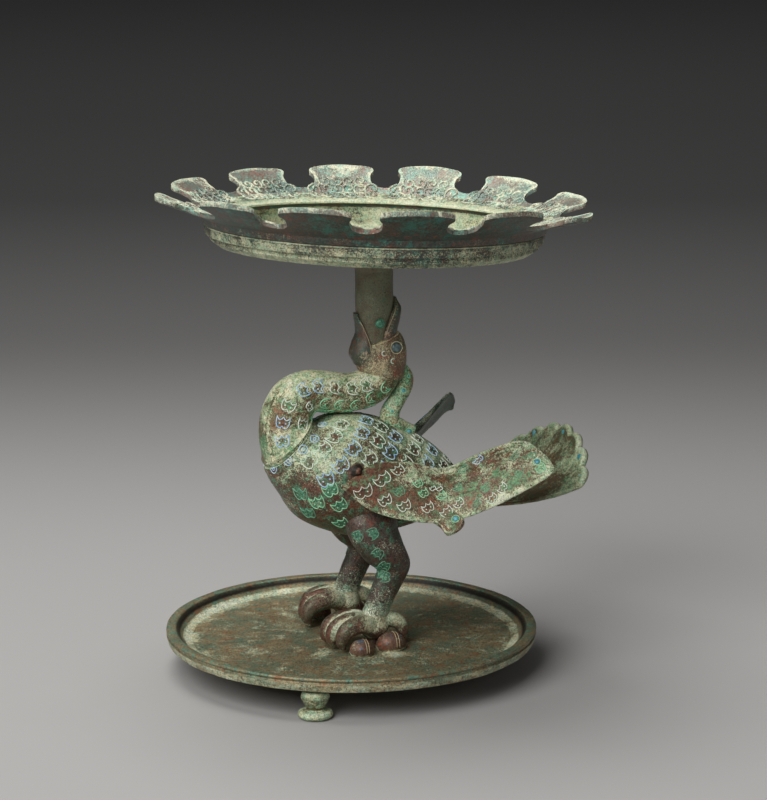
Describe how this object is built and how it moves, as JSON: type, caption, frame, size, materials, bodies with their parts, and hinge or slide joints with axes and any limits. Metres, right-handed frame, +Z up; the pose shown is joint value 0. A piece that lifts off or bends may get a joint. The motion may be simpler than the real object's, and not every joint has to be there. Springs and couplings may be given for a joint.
{
  "type": "ritual basin on a bird stand",
  "caption": "Shallow bronze basin with a rim of axe-shaped lobes, carried on a stem in the upturned beak of a walking bird that stands on a round footed tray.",
  "frame": {"origin": "on the floor under the axis of the stem, which is close to the middle of the footprint", "axes": "+Z up along the stem, +X the way the bird walks, +Y towards the bird's left wing"},
  "size_m": [0.1953, 0.1864, 0.2217],
  "materials": {
    "tray_bronze": "corroded brown and olive patina",
    "green_bronze": "corroded green patina",
    "brown_bronze": "corroded brown patina with green spots",
    "pale_bronze": "pale encrusted patina",
    "dark_bronze": "dark blue-green patina",
    "eye_stone": "worn grey-blue stone"
  },
  "bodies": {
    "root": {"base_tray": "tray_bronze", "tray_foot_1": "green_bronze", "tray_foot_2": "green_bronze", "tray_foot_3": "green_bronze", "bird_body": "brown_bronze", "bird_neck": "green_bronze", "bird_head": "brown_bronze", "beak_upper": "green_bronze", "beak_lower": "green_bronze", "crest_plume": "green_bronze", "tail_fan": "brown_bronze", "eye_left": "eye_stone", "eye_right": "eye_stone", "wing_left": "green_bronze", "wing_right": "green_bronze", "leg_left": "brown_bronze", "leg_right": "brown_bronze", "claw_left": "pale_bronze", "claw_right": "pale_bronze", "serpent_front_left": "brown_bronze", "serpent_front_right": "brown_bronze", "serpent_hind_left": "brown_bronze", "serpent_hind_right": "brown_bronze", "stem": "dark_bronze", "stem_pin": "green_bronze", "basin": "dark_bronze"}
  },
  "joints": []
}
